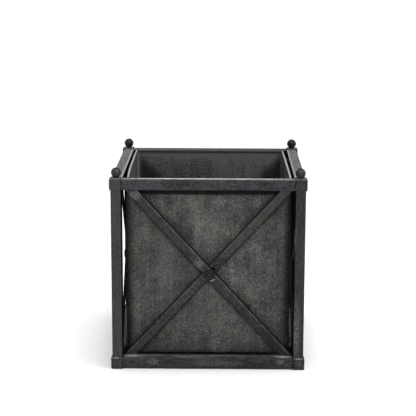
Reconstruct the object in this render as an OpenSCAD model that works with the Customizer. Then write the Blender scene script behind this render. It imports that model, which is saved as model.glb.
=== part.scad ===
// Square planter: a welded tube frame with crossed flat-bar braces on all four
// sides, ball finials on the corner blocks, and a loose sheet-metal liner.
// Millimetres, +Z up, front at -Y, origin on the ground under the centre.

/* [Frame] */
// Width over the posts
frame_w = 440; // [300:5:700]
// Depth over the posts
frame_d = 440; // [300:5:700]
// Height of the top rails' upper faces above the ground
frame_h = 444.5; // [300:0.5:700]
// Side of the square posts, and depth of the rails
post_s = 25; // [20:1:36]
// Wall of the square tubes
tube_wall = 2; // [1.5:0.5:3]
// Outer corner radius of the square tubes
tube_r = 3.5; // [3:0.5:6]
// Height of the top rails
top_rail_h = 25; // [18:0.5:40]
// Height of the bottom rails
bottom_rail_h = 25; // [18:0.5:45]

/* [Corner blocks] */
// How far a block stands out past the post's two outer faces
block_proud = 3; // [1:0.5:8]
// How far a top block rises above the rails
block_rise = 3; // [1:0.5:8]
// How far a foot block reaches below the bottom rails
foot_drop = 3; // [1:0.5:20]
// Edge radius of the blocks
block_r = 4; // [1:0.5:6]

/* [Finials] */
// Diameter of the ball
ball_d = 22.6; // [16:0.2:34]
// Height of the ball's centre above its block
ball_rise = 11; // [9:0.5:20]
// Foot diameter of the hollow fillet under the ball
neck_d = 17; // [12:0.5:22]
// Radius of that fillet
neck_r = 2.2; // [1:0.1:3]
// Diameter of the stud that holds the finial
stud_d = 8; // [5:0.5:12]
// Length of the stud inside the block
stud_len = 14; // [8:1:20]
// Clearance round the stud
stud_gap = 0.2; // [0.1:0.05:0.4]

/* [Braces] */
// Width of the flat bar
brace_w = 21; // [12:1:34]
// Thickness of the flat bar
brace_t = 4; // [3:0.5:6]
// Gap between a brace's outer corner and the post
brace_end_gap = 7; // [0:0.5:20]

/* [Rivet bosses] */
// Diameter of the disc
boss_d = 27.5; // [20:0.5:40]
// Thickness of the disc
boss_t = 1.6; // [1:0.1:3]
// Outer diameter of the raised ring on the disc
ring_d = 19; // [14:0.5:22]
// Width of that ring
ring_w = 4; // [3:0.5:6]
// Height of the ring above the brace
ring_h = 3; // [2.5:0.1:5]
// Width of the groove round the ring
groove_w = 1.2; // [0.6:0.1:2]
// Depth of that groove
groove_t = 0.8; // [0.4:0.1:0.9]
// Diameter of the rivet's domed head inside the ring
pip_d = 8; // [6:0.5:10]
// Height of that head above the brace
pip_h = 3.6; // [3:0.1:6]
// Diameter of the rivet's shank
rivet_d = 7; // [5:0.5:8]
// Clearance round the shank
rivet_gap = 0.15; // [0.1:0.05:0.4]
// Diameter of the head closed on the inside
head_d = 14; // [10:0.5:20]
// Height of that head
head_h = 2.8; // [1.5:0.1:4]
// How far the rivet sits off the crossing, down the outer brace
boss_shift = 4; // [0:0.5:5]

/* [Liner supports] */
// Side of the three square cross tubes
support_s = 20; // [16:1:25]
// Wall of the cross tubes
support_wall = 1.5; // [1:0.5:2]
// Outer corner radius of the cross tubes
support_r = 2.5; // [2:0.5:4]
// How far the cross tubes stand above the bottom rails
support_rise = 3; // [0:0.5:8]
// Distance from the front and back rails to the outer cross tubes' middles
support_inset = 70; // [40:5:110]

/* [Liner] */
// Gap between the rails and the liner's walls
liner_gap = 7.5; // [6:0.5:20]
// Thickness of the sheet
liner_t = 0.9; // [0.6:0.1:1.5]
// Clearance between the liner's floor and the cross tubes
liner_seat = 0.3; // [0.3:0.1:1]
// How far the rim lies below the top rails' upper faces
rim_drop = 1; // [0:0.5:30]
// Diameter of the wire inside the rolled rim
wire_d = 3; // [2.5:0.5:4]
// Clearance between the wire and the roll
wire_gap = 0.1; // [0.05:0.05:0.3]
// Outside radius of the bends at the upright corners
bend_r = 2.5; // [2:0.5:4]
// Length of the folded corner flaps
flap_w = 9; // [6:1:40]
// Height of the floor pan's turned-up edge
pan_lip = 15; // [6:1:40]
// Corner radius of the floor pan
pan_r = 4; // [4:0.5:12]
// Diameter of the drain holes
drain_d = 12; // [6:1:25]
// Distance from the liner's side walls to the drain holes' middles
drain_inset = 97.5; // [30:2.5:120]

/* [Hidden] */

$fn = 64;

// How far a cutter runs past the face that it opens
eps = 0.5;
// How far the walls and their flaps end below the roll
wall_clear = 0.1;

// Rails
top_rail_z = frame_h - top_rail_h;
bottom_rail_top = foot_drop + bottom_rail_h;
window_h = top_rail_z - bottom_rail_top;

// Corner blocks
block_s = post_s + block_proud;
top_block_h = top_rail_h + block_rise;
foot_block_h = bottom_rail_top;
block_top = frame_h + block_rise;

// Cross tubes: distance of the outer ones from the middle one
support_out = frame_d / 2 - post_s - support_inset;
support_z = bottom_rail_top + support_rise - support_s / 2;

// Braces: the two bars lie one behind the other, flush with the rails' inner faces
outer_brace_y = post_s - 2 * brace_t;
inner_brace_y = post_s - brace_t;
crossing_z = bottom_rail_top + window_h / 2;

// Liner
liner_w = frame_w - 2 * (post_s + liner_gap);
liner_d = frame_d - 2 * (post_s + liner_gap);
liner_z = bottom_rail_top + support_rise + liner_seat;
roll_in_r = wire_d / 2 + wire_gap;
roll_r = roll_in_r + liner_t;
rim_z = frame_h - rim_drop - roll_r;
wall_top = rim_z - roll_r - wall_clear;

// Sides are numbered front 0, right 1, back 2 and left 3, and corners front left 0,
// front right 1, back right 2 and back left 3

// Length of side i over the posts, and the distance of its outer face from the centre
function side_len(i) = i % 2 == 0 ? frame_w : frame_d;
function side_out(i) = (i % 2 == 0 ? frame_d : frame_w) / 2;
function liner_len(i) = i % 2 == 0 ? liner_w : liner_d;
function liner_out(i) = (i % 2 == 0 ? liner_d : liner_w) / 2;

// How far a brace's outermost corners lie from the middle of the side
function brace_reach(i) = side_len(i) / 2 - post_s - brace_end_gap;
// How far its centre line's ends lie from there, for a bar of that width cut level
function brace_run(i) =
    let (e = brace_reach(i), h2 = window_h ^ 2, k2 = (brace_w / 2) ^ 2)
    (h2 * e - sqrt((h2 * e) ^ 2 - (h2 - 4 * k2) * h2 * (e ^ 2 - k2))) / (h2 - 4 * k2);
// Angle of a brace above the level
function brace_angle(i) = atan(window_h / (2 * brace_run(i)));
// Place of the rivet along the side and in height
function rivet_x(i) = boss_shift * cos(brace_angle(i));
function rivet_z(i) = crossing_z - boss_shift * sin(brace_angle(i));

// Rectangle about the origin with round corners
module round_rect(w, h, r) {
    square([w - 2 * r, h], center = true);
    square([w, h - 2 * r], center = true);
    for (x = [-1, 1], y = [-1, 1])
        translate([x * (w / 2 - r), y * (h / 2 - r)]) circle(r);
}

// Cross-section of a rectangular tube
module tube_section(w, h, r, wall) {
    difference() {
        round_rect(w, h, r);
        round_rect(w - 2 * wall, h - 2 * wall, r - wall);
    }
}

// Extrudes a section drawn in Y and Z along X, about the middle
module along_x(len) {
    rotate([90, 0, 90]) translate([0, 0, -len / 2]) linear_extrude(len) children();
}

// Puts a piece on side i. There x runs along the side as seen from outside, y = 0 is
// the posts' outer face and y grows inwards
module on_side(i) {
    rotate([0, 0, 90 * i]) translate([0, -side_out(i), 0]) children();
}

// Puts a piece on the liner's side i, with y = 0 on the wall's outer face
module on_liner_side(i) {
    rotate([0, 0, 90 * i]) translate([0, -liner_out(i), 0]) children();
}

// Puts a piece at the outer corner of post i, with x and y growing inwards
module at_corner(i) {
    right = i == 1 || i == 2;
    back = i > 1;
    mirror([right ? 1 : 0, 0, 0]) mirror([0, back ? 1 : 0, 0])
        translate([-frame_w / 2, -frame_d / 2, 0]) children();
}

// Block with all its edges rounded, from its lowest corner
module rounded_block(w, d, h, r) {
    translate([w / 2, d / 2, h / 2]) intersection() {
        translate([0, 0, -h / 2]) linear_extrude(h) round_rect(w, d, r);
        translate([-w / 2, 0, 0]) rotate([90, 0, 90]) linear_extrude(w) round_rect(d, h, r);
        translate([0, d / 2, 0]) rotate([90, 0, 0]) linear_extrude(d) round_rect(w, h, r);
    }
}

// Upright square tube between the foot block and the corner block
module post(i) {
    color([0.26, 0.26, 0.28]) at_corner(i)
        translate([post_s / 2, post_s / 2, foot_block_h])
            linear_extrude(top_rail_z - foot_block_h)
                tube_section(post_s, post_s, tube_r, tube_wall);
}

// Tube between two blocks, flush with the posts
module rail(i, z, h) {
    color([0.27, 0.27, 0.29]) on_side(i)
        translate([0, post_s / 2, z + h / 2])
            along_x(side_len(i) - 2 * post_s) tube_section(post_s, h, tube_r, tube_wall);
}

module top_rail(i) {
    rail(i, top_rail_z, top_rail_h);
}

module bottom_rail(i) {
    rail(i, foot_drop, bottom_rail_h);
}

// Solid block that closes a post's top and carries the finial's stud
module corner_block(i) {
    color([0.28, 0.28, 0.30]) at_corner(i) difference() {
        translate([-block_proud, -block_proud, top_rail_z])
            rounded_block(block_s, block_s, top_block_h, block_r);
        translate([post_s / 2, post_s / 2, block_top - stud_len - eps])
            cylinder(d = stud_d + 2 * stud_gap, h = stud_len + 2 * eps);
    }
}

// Solid block that the planter stands on
module foot_block(i) {
    color([0.28, 0.28, 0.30]) at_corner(i)
        translate([-block_proud, -block_proud, 0])
            rounded_block(block_s, block_s, foot_block_h, block_r);
}

// Ball with a hollow fillet round its foot and a stud below
module finial(i) {
    color([0.30, 0.30, 0.32]) at_corner(i)
        translate([post_s / 2, post_s / 2, block_top]) rotate_extrude() {
            intersection() {
                translate([0, ball_rise]) circle(d = ball_d);
                square([ball_d, ball_rise + ball_d]);
            }
            difference() {
                square([neck_d / 2, neck_r]);
                translate([neck_d / 2, neck_r]) circle(neck_r);
            }
            translate([0, -stud_len]) square([stud_d / 2, stud_len + ball_rise]);
        }
}

// Flat bar from corner to corner of side i, its ends cut level to meet the rails.
// lean is 1 for the outer bar, which falls to the right, and -1 for the inner one
module brace(i, y, lean) {
    run = brace_run(i);
    half = brace_reach(i) - run;
    color([0.24, 0.24, 0.26]) on_side(i) difference() {
        translate([0, y + brace_t, 0]) rotate([90, 0, 0]) linear_extrude(brace_t)
            polygon([
                [lean * (run - half), bottom_rail_top],
                [lean * (run + half), bottom_rail_top],
                [lean * (half - run), top_rail_z],
                [-lean * (half + run), top_rail_z]
            ]);
        translate([rivet_x(i), y - eps, rivet_z(i)]) rotate([-90, 0, 0])
            cylinder(d = rivet_d + 2 * rivet_gap, h = brace_t + 2 * eps);
    }
}

module outer_brace(i) {
    brace(i, outer_brace_y, 1);
}

module inner_brace(i) {
    brace(i, inner_brace_y, -1);
}

// Part of a circle's disc that forms a dome of base b and height h, for turning
module dome_section(b, h) {
    ball_r = (b * b / 4 + h * h) / (2 * h);
    intersection() {
        translate([0, h - ball_r]) circle(ball_r, $fn = 128);
        square([b / 2, h]);
    }
}

// Half section of the disc with its rounded edge and its groove, for turning
module disc_section() {
    difference() {
        union() {
            square([boss_d / 2 - boss_t, boss_t]);
            intersection() {
                translate([boss_d / 2 - boss_t, 0]) circle(boss_t);
                square([boss_d, boss_t]);
            }
        }
        translate([ring_d / 2, boss_t - groove_t]) square([groove_w, groove_t + eps]);
    }
}

// Half section of the raised ring, for turning
module ring_section() {
    translate([(ring_d - ring_w) / 2, 0])
        for (k = [0, 1]) mirror([k, 0]) dome_section(ring_w, ring_h);
}

// Round boss on the outer face: a grooved disc, a raised ring and the rivet's head, with
// the shank through both bars and the closed head inside
module rivet_boss(i) {
    color([0.22, 0.22, 0.24]) on_side(i)
        translate([rivet_x(i), outer_brace_y, rivet_z(i)]) rotate([90, 0, 0])
            rotate_extrude() {
                disc_section();
                ring_section();
                dome_section(pip_d, pip_h);
                translate([0, -2 * brace_t - head_h / 2])
                    square([rivet_d / 2, 2 * brace_t + head_h / 2 + boss_t / 2]);
                translate([0, -2 * brace_t]) mirror([0, 1]) dome_section(head_d, head_h);
            }
}

// Square tube between the side rails, standing a little above them, that carries the
// liner
module cross_tube(k) {
    color([0.24, 0.24, 0.25])
        translate([0, k * support_out, support_z]) along_x(frame_w - 2 * post_s)
            tube_section(support_s, support_s, support_r, support_wall);
}

// Plan of a strip with both ends bent inwards: outer width w, flap length and radius
module bent_plan(w, flap, r) {
    translate([-w / 2, r]) square([w, flap - r]);
    translate([-w / 2 + r, 0]) square([w - 2 * r, flap]);
    for (x = [-1, 1]) translate([x * (w / 2 - r), r]) circle(r);
}

// Rolled edge and the strip just below it, cut at 45 degrees to meet its neighbours
module rolled_edge(len) {
    reach = 2 * roll_r;
    intersection() {
        along_x(len + 2 * reach) {
            translate([liner_t / 2, rim_z]) difference() {
                circle(roll_r);
                circle(roll_in_r);
            }
            translate([0, wall_top]) square([liner_t, roll_r + wall_clear - roll_in_r]);
        }
        translate([0, 0, wall_top - eps]) linear_extrude(2 * roll_r + 2 * eps)
            polygon([
                [-len / 2 - reach, -reach], [len / 2 + reach, -reach],
                [len / 2 - reach, reach], [-len / 2 + reach, reach]
            ]);
    }
}

// Sheet wall of the liner. The side ones have flaps folded behind the front and back
module liner_panel(i) {
    folded = i % 2 == 1;
    w = liner_len(i) - 2 * liner_t;
    color([0.38, 0.38, 0.36]) on_liner_side(i) {
        rolled_edge(liner_len(i));
        translate([0, liner_t / 2, liner_z]) linear_extrude(rim_z - roll_in_r - liner_z)
            square([w - 2 * bend_r, liner_t], center = true);
        translate([0, 0, liner_z]) linear_extrude(wall_top - liner_z) {
            if (folded) {
                difference() {
                    bent_plan(w, flap_w, bend_r);
                    translate([0, liner_t])
                        bent_plan(w - 2 * liner_t, flap_w, bend_r - liner_t);
                }
            } else {
                translate([-liner_len(i) / 2, 0]) square([liner_len(i), liner_t]);
            }
        }
    }
}

// Floor pan with a turned-up edge inside the walls and their flaps, and with drain
// holes midway between the cross tubes
module liner_floor() {
    w = liner_w - 2 * liner_t;
    d = liner_d - 4 * liner_t;
    color([0.36, 0.36, 0.34]) translate([0, 0, liner_z]) difference() {
        linear_extrude(pan_lip) round_rect(w, d, pan_r);
        translate([0, 0, liner_t]) linear_extrude(pan_lip)
            round_rect(w - 2 * liner_t, d - 2 * liner_t, pan_r - liner_t);
        for (x = [-1, 1], y = [-1, 1])
            translate([x * (liner_w / 2 - drain_inset), y * support_out / 2, -eps])
                cylinder(d = drain_d, h = liner_t + 2 * eps);
    }
}

// Square hoop of wire inside the rolled edges
module rim_wire() {
    x = (liner_w - liner_t) / 2;
    y = (liner_d - liner_t) / 2;
    color([0.45, 0.45, 0.46]) translate([0, 0, rim_z]) {
        for (s = [-1, 1]) {
            translate([-x, s * y, 0]) rotate([0, 90, 0]) cylinder(d = wire_d, h = 2 * x);
            translate([s * x, y, 0]) rotate([90, 0, 0]) cylinder(d = wire_d, h = 2 * y);
            for (t = [-1, 1]) translate([s * x, t * y, 0]) sphere(d = wire_d);
        }
    }
}

post(0);  // post_front_left
post(1);  // post_front_right
post(2);  // post_back_right
post(3);  // post_back_left
top_rail(0);  // top_rail_front
top_rail(1);  // top_rail_right
top_rail(2);  // top_rail_back
top_rail(3);  // top_rail_left
bottom_rail(0);  // bottom_rail_front
bottom_rail(1);  // bottom_rail_right
bottom_rail(2);  // bottom_rail_back
bottom_rail(3);  // bottom_rail_left
corner_block(0);  // corner_block_front_left
corner_block(1);  // corner_block_front_right
corner_block(2);  // corner_block_back_right
corner_block(3);  // corner_block_back_left
foot_block(0);  // foot_block_front_left
foot_block(1);  // foot_block_front_right
foot_block(2);  // foot_block_back_right
foot_block(3);  // foot_block_back_left
finial(0);  // finial_front_left
finial(1);  // finial_front_right
finial(2);  // finial_back_right
finial(3);  // finial_back_left
outer_brace(0);  // outer_brace_front
outer_brace(1);  // outer_brace_right
outer_brace(2);  // outer_brace_back
outer_brace(3);  // outer_brace_left
inner_brace(0);  // inner_brace_front
inner_brace(1);  // inner_brace_right
inner_brace(2);  // inner_brace_back
inner_brace(3);  // inner_brace_left
rivet_boss(0);  // rivet_boss_front
rivet_boss(1);  // rivet_boss_right
rivet_boss(2);  // rivet_boss_back
rivet_boss(3);  // rivet_boss_left
cross_tube(-1);  // cross_tube_front
cross_tube(0);  // cross_tube_middle
cross_tube(1);  // cross_tube_back
liner_panel(0);  // liner_panel_front
liner_panel(1);  // liner_panel_right
liner_panel(2);  // liner_panel_back
liner_panel(3);  // liner_panel_left
liner_floor();
rim_wire();
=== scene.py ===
"""Looks of a square planter: a riveted frame of dark square tube with ball finials,
round a loose liner of patinated sheet metal with a wired rim.

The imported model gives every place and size. This file dresses its nodes, cuts the
braces' bars, bends the liner's walls as real sheet bends, adds weld beads and soldered
seams, and sets up the studio. All lengths are in metres.
"""

import logging
import math
from dataclasses import dataclass
from enum import Enum
from typing import Callable, Iterable, Sequence

import bmesh
import bpy
from mathutils import Matrix, Vector

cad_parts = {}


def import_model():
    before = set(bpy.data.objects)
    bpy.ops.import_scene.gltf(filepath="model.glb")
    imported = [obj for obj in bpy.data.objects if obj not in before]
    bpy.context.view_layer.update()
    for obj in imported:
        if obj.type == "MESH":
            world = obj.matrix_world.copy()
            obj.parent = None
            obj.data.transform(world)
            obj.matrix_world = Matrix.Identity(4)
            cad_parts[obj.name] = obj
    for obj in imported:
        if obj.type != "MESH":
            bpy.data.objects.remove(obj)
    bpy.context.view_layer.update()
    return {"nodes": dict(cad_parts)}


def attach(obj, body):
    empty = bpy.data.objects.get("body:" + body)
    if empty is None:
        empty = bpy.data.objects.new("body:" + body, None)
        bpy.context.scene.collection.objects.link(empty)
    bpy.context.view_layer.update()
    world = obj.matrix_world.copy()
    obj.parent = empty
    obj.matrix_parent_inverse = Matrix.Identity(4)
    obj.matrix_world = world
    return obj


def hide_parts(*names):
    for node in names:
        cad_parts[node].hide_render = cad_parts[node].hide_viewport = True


log = logging.getLogger("planter")

MM = 0.001
CREASE = math.radians(40)

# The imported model's sizes that the looks line up with
RAIL_INSIDE = 195 * MM
LOW_RAIL_TOP = 28 * MM
RAIL_UNDER = 419.5 * MM
HALF_HEIGHT = (LOW_RAIL_TOP + RAIL_UNDER) / 2
LINER_HALF = 187.5 * MM
LINER_FLAP = 9 * MM
RIM_HEIGHT = 441 * MM

Colour = tuple[float, float, float, float]
Point = tuple[float, float, float]
Span = tuple[float, float]


class Body(Enum):
    """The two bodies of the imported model."""

    FRAME = "frame"
    LINER = "liner"


class Slot(Enum):
    """Material slot names for the new pieces; nothing in this script uses them."""

    TUBE = "frame_steel"
    SHEET = "liner_sheet"
    WIRE = "rim_wire"


class Side(Enum):
    """The planter's four sides, by the number of quarter turns from the front."""

    FRONT = 0
    RIGHT = 1
    BACK = 2
    LEFT = 3

    @property
    def label(self) -> str:
        """The side's name in the names of nodes and pieces."""
        return self.name.lower()

    @property
    def turn(self) -> Matrix:
        """The turn about Z that takes a piece of the front to this side."""
        return Matrix.Rotation(self.value * math.pi / 2, 4, "Z")


@dataclass(frozen=True)
class Brace:
    """One flat bar of a side, as it lies on the front.

    Args:
        kind: the start of its name.
        lean: 1 for a bar that falls to the right, -1 for one that falls to the left.
        slope: its angle above the level.
        shift: how far right of the side's middle it crosses half height.
        width: its width.
        depth: the distance of its middle from the planter's middle.
    """

    kind: str
    lean: int
    slope: float
    shift: float
    width: float
    depth: float

    @property
    def half(self) -> float:
        """Half its width along the level."""
        return self.width / 2 / math.sin(self.slope)

    def level(self, height: float) -> float:
        """Where its middle line lies at a height above half height."""
        return self.shift - self.lean * height / math.tan(self.slope)

    def above(self, along: "Shade", height: "Shade") -> "Shade":
        """Distance above its middle line, square to it, of a point of its side."""
        sideways = (along - self.shift) * (self.lean * math.sin(self.slope))
        return sideways + (height - HALF_HEIGHT) * math.cos(self.slope)


OUTER = Brace("outer_brace", 1, math.radians(47.6), 3.1 * MM, 22.8 * MM, 201 * MM)
INNER = Brace("inner_brace", -1, math.radians(47.4), -1.1 * MM, 21 * MM, 197 * MM)


# ---------------------------------------------------------------- shader maths


class Shade:
    """A socket of a material, on which Python's operators add Math nodes."""

    def __init__(self, nodes: "Nodes", socket: bpy.types.NodeSocket) -> None:
        """Wraps an output socket of a node tree."""
        self.nodes = nodes
        self.socket = socket

    def _math(self, operation: str, *values: "Shade | float", clamp: bool = False) -> "Shade":
        """Adds one Math node.

        Args:
            operation: the node's operation.
            values: its inputs, in order.
            clamp: whether the result is kept between 0 and 1.

        Returns:
            The node's result.
        """
        settings = {"operation": operation, "use_clamp": clamp}
        return self.nodes.add("Math", settings, dict(enumerate(values)))

    def __add__(self, other: "Shade | float") -> "Shade":
        """self + other."""
        return self._math("ADD", self, other)

    __radd__ = __add__

    def __sub__(self, other: "Shade | float") -> "Shade":
        """self - other."""
        return self._math("SUBTRACT", self, other)

    def __rsub__(self, other: float) -> "Shade":
        """other - self."""
        return self._math("SUBTRACT", other, self)

    def __mul__(self, other: "Shade | float") -> "Shade":
        """self * other."""
        return self._math("MULTIPLY", self, other)

    __rmul__ = __mul__

    def __pow__(self, other: float) -> "Shade":
        """self to the power of other."""
        return self._math("POWER", self, other)

    def __abs__(self) -> "Shade":
        """The size of self."""
        return self._math("ABSOLUTE", self)

    def sign(self) -> "Shade":
        """1 where self is above 0, -1 where it is below."""
        return self._math("SIGN", self)

    def clamped(self) -> "Shade":
        """self, kept between 0 and 1."""
        return self._math("ADD", self, 0.0, clamp=True)

    def at_most(self, other: "Shade | float") -> "Shade":
        """The smaller of self and other."""
        return self._math("MINIMUM", self, other)

    def at_least(self, other: "Shade | float") -> "Shade":
        """The larger of self and other."""
        return self._math("MAXIMUM", self, other)

    def step(self, low: float, high: float) -> "Shade":
        """A soft step on self.

        Args:
            low: where the result is 0.
            high: where the result is 1. It may lie below low.

        Returns:
            0 to 1, eased at both ends.
        """
        inputs = {"Value": self, "From Min": low, "From Max": high}
        return self.nodes.add("MapRange", {"interpolation_type": "SMOOTHSTEP"}, inputs)

    def spread(self) -> "Shade":
        """self, which is noise, drawn out to reach from 0 to 1."""
        return self.step(0.3, 0.7)


class Nodes:
    """The node tree of one material, or of the world."""

    def __init__(self, tree: bpy.types.NodeTree) -> None:
        """Empties a tree and starts on it."""
        tree.nodes.clear()
        self.tree = tree

    def node(
        self,
        kind: str,
        settings: dict[str, object] | None = None,
        inputs: dict[int | str, object] | None = None,
    ) -> bpy.types.Node:
        """Adds any node.

        Args:
            kind: the node's type, without ShaderNode in front.
            settings: its properties.
            inputs: for each input socket, a value or a Shade to link.

        Returns:
            The node.
        """
        node = self.tree.nodes.new("ShaderNode" + kind)
        for name, value in (settings or {}).items():
            setattr(node, name, value)
        for name, value in (inputs or {}).items():
            socket = node.inputs[name]
            if isinstance(value, Shade):
                self.tree.links.new(value.socket, socket)
            else:
                socket.default_value = value
        return node

    def add(
        self,
        kind: str,
        settings: dict[str, object] | None = None,
        inputs: dict[int | str, object] | None = None,
        output: int | str = 0,
    ) -> Shade:
        """Adds any node and wraps one of its outputs.

        Args:
            kind: as for node.
            settings: as for node.
            inputs: as for node.
            output: the output socket that is wanted.

        Returns:
            The output socket, wrapped.
        """
        return Shade(self, self.node(kind, settings, inputs).outputs[output])

    def axis(self, vector: Shade, name: str) -> Shade:
        """One part of a vector: X, Y or Z."""
        return self.add("SeparateXYZ", inputs={"Vector": vector}, output=name)

    def moved(self, vector: Shade, scale: Point, shift: Point) -> Shade:
        """Multiplies a vector by scale along each axis, then adds shift."""
        return self.add("Mapping", inputs={"Vector": vector, "Scale": scale, "Location": shift})

    def measured(self, operation: str, *vectors: Shade | Point) -> Shade:
        """One number from one or two vectors, by a Vector Math operation."""
        inputs = dict(enumerate(vectors))
        return self.add("VectorMath", {"operation": operation}, inputs, "Value")

    def mix(self, low: Shade | Colour, *layers: tuple[Shade, Shade | Colour]) -> Shade:
        """Lays colours over a first one.

        Args:
            low: the first colour.
            layers: for each colour over it, how much of it shows, 0 to 1, and the colour.

        Returns:
            The mixed colour.
        """
        settings = {"data_type": "RGBA", "clamp_factor": True}
        for share, high in layers:
            low = self.add("Mix", settings, {"Factor": share, 6: low, 7: high}, 2)
        return low


@dataclass(frozen=True)
class Cloud:
    """A layer of cloudy noise.

    Args:
        size: the size of its largest patches.
        detail: how many finer layers it has.
        rough: how strong the finer layers are.
        stretch: how many times closer together it lies along each axis.
        shift: how far it is moved, so that two layers differ.
    """

    size: float
    detail: float = 4.0
    rough: float = 0.55
    stretch: Point = (1, 1, 1)
    shift: Point = (0, 0, 0)


@dataclass(frozen=True)
class Patch:
    """A place on the planter with its own wear.

    Args:
        centre: the middle of the place, in millimetres.
        reach: how far it goes along each axis, in millimetres.
        share: how strong it is.
    """

    centre: Point
    reach: Point
    share: float = 1.0


class Canvas(Nodes):
    """The node tree of a material, which knows where each point lies and how it faces.

    Object coordinates are the planter's own, in metres.
    """

    def __init__(self, tree: bpy.types.NodeTree) -> None:
        """Starts on an empty tree with the coordinates that patterns read.

        Args:
            tree: the material's node tree.
        """
        super().__init__(tree)
        self.drawn: dict[Cloud, Shade] = {}
        self.place = self.add("TexCoord", output="Object")
        self.facing = self.add("TexCoord", output="Normal")
        self.x, self.y, self.z = (self.axis(self.place, name) for name in "XYZ")
        self.out_x, self.out_y, self.up = (self.axis(self.facing, name) for name in "XYZ")

    def noise(self, cloud: Cloud) -> Shade:
        """Draws a layer of noise, the first time that it is asked for.

        Args:
            cloud: the layer.

        Returns:
            The noise, mostly from 0.3 to 0.7.
        """
        if cloud not in self.drawn:
            inputs = {
                "Vector": self.moved(self.place, cloud.stretch, cloud.shift),
                "Scale": 1 / cloud.size,
                "Detail": cloud.detail,
                "Roughness": cloud.rough,
            }
            self.drawn[cloud] = self.add("TexNoise", inputs=inputs, output="Fac")
        return self.drawn[cloud]

    def wander(self, cloud: Cloud, reach: float) -> Shade:
        """Noise about 0, which makes an edge ragged."""
        return (self.noise(cloud) - 0.5) * reach

    def cells(self, size: float) -> Shade:
        """Distance to the nearest of many scattered points, in cell sizes."""
        inputs = {"Vector": self.place, "Scale": 1 / size}
        return self.add("TexVoronoi", inputs=inputs, output="Distance")

    def patches(self, marks: Sequence[Patch]) -> Shade | float:
        """Draws patches, each soft from its edge inwards.

        Args:
            marks: the patches.

        Returns:
            The sum of their shares.
        """
        total: Shade | float = 0.0
        for mark in marks:
            scale = tuple(1 / (reach * MM) for reach in mark.reach)
            shift = tuple(-at / reach for at, reach in zip(mark.centre, mark.reach))
            length = self.measured("LENGTH", self.moved(self.place, scale, shift))
            total = length.step(1.0, 0.25) * mark.share + total
        return total

    def along(self) -> Shade:
        """How far right of its side's middle a point lies, seen from outside.

        Returns:
            The distance, on whichever of the four sides the point is.
        """
        front = (abs(self.y) - abs(self.x)).step(-MM, MM)
        straight = self.y.sign() * self.x * -1.0
        return straight * front + self.x.sign() * self.y * (1 - front)


def rgb(red: float, green: float, blue: float) -> Colour:
    """A colour from the values that a picture shows.

    Args:
        red: from 0 to 255.
        green: from 0 to 255.
        blue: from 0 to 255.

    Returns:
        The linear colour, opaque.
    """

    def linear(value: float) -> float:
        """One channel, made linear."""
        share = value / 255
        return share / 12.92 if share <= 0.04045 else ((share + 0.055) / 1.055) ** 2.4

    return linear(red), linear(green), linear(blue), 1.0


# -------------------------------------------------------------------- finishes

# What a finish draws: colour, roughness, height and metallic
Coat = tuple[Shade, Shade, Shade, Shade | float]


@dataclass(frozen=True)
class Finish:
    """What every finish has.

    Args:
        name: the material's name.
        roughness: how matt it is.
        specular: how much plain light it mirrors.
        grain: how strong its relief is.
        relief: how deep its relief is.
    """

    name: str
    roughness: float = 0.5
    specular: float = 0.2
    grain: float = 0.35
    relief: float = 0.4 * MM

    def material(self) -> bpy.types.Material:
        """Makes the material.

        Returns:
            The new material, with the colour and relief of this finish.
        """
        made = bpy.data.materials.new(self.name)
        made.use_nodes = True
        canvas = Canvas(made.node_tree)
        colour, roughness, height, metal = self.surface(canvas)
        bump = {"Height": height, "Strength": self.grain, "Distance": self.relief}
        inputs = {
            "Base Color": colour,
            "Roughness": roughness,
            "Metallic": metal,
            "Specular IOR Level": self.specular,
            "Normal": canvas.add("Bump", inputs=bump),
        }
        shader = canvas.add("BsdfPrincipled", inputs=inputs)
        canvas.node("OutputMaterial", inputs={"Surface": shader})
        return made

    def surface(self, canvas: Canvas) -> Coat:
        """The finish's pattern, which each finish draws in its own way."""
        raise NotImplementedError


# Streaks that the steel keeps from rolling, drawn out along posts, rails and bars
POST_STREAKS = Cloud(2.6 * MM, 3, 0.7, (1.0, 1.0, 0.1))
RAIL_STREAKS = Cloud(2.6 * MM, 3, 0.7, (0.1, 0.1, 1.0))
BAR_STREAKS = Cloud(2.6 * MM, 3, 0.7, (0.75, 0.75, 0.65))


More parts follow.
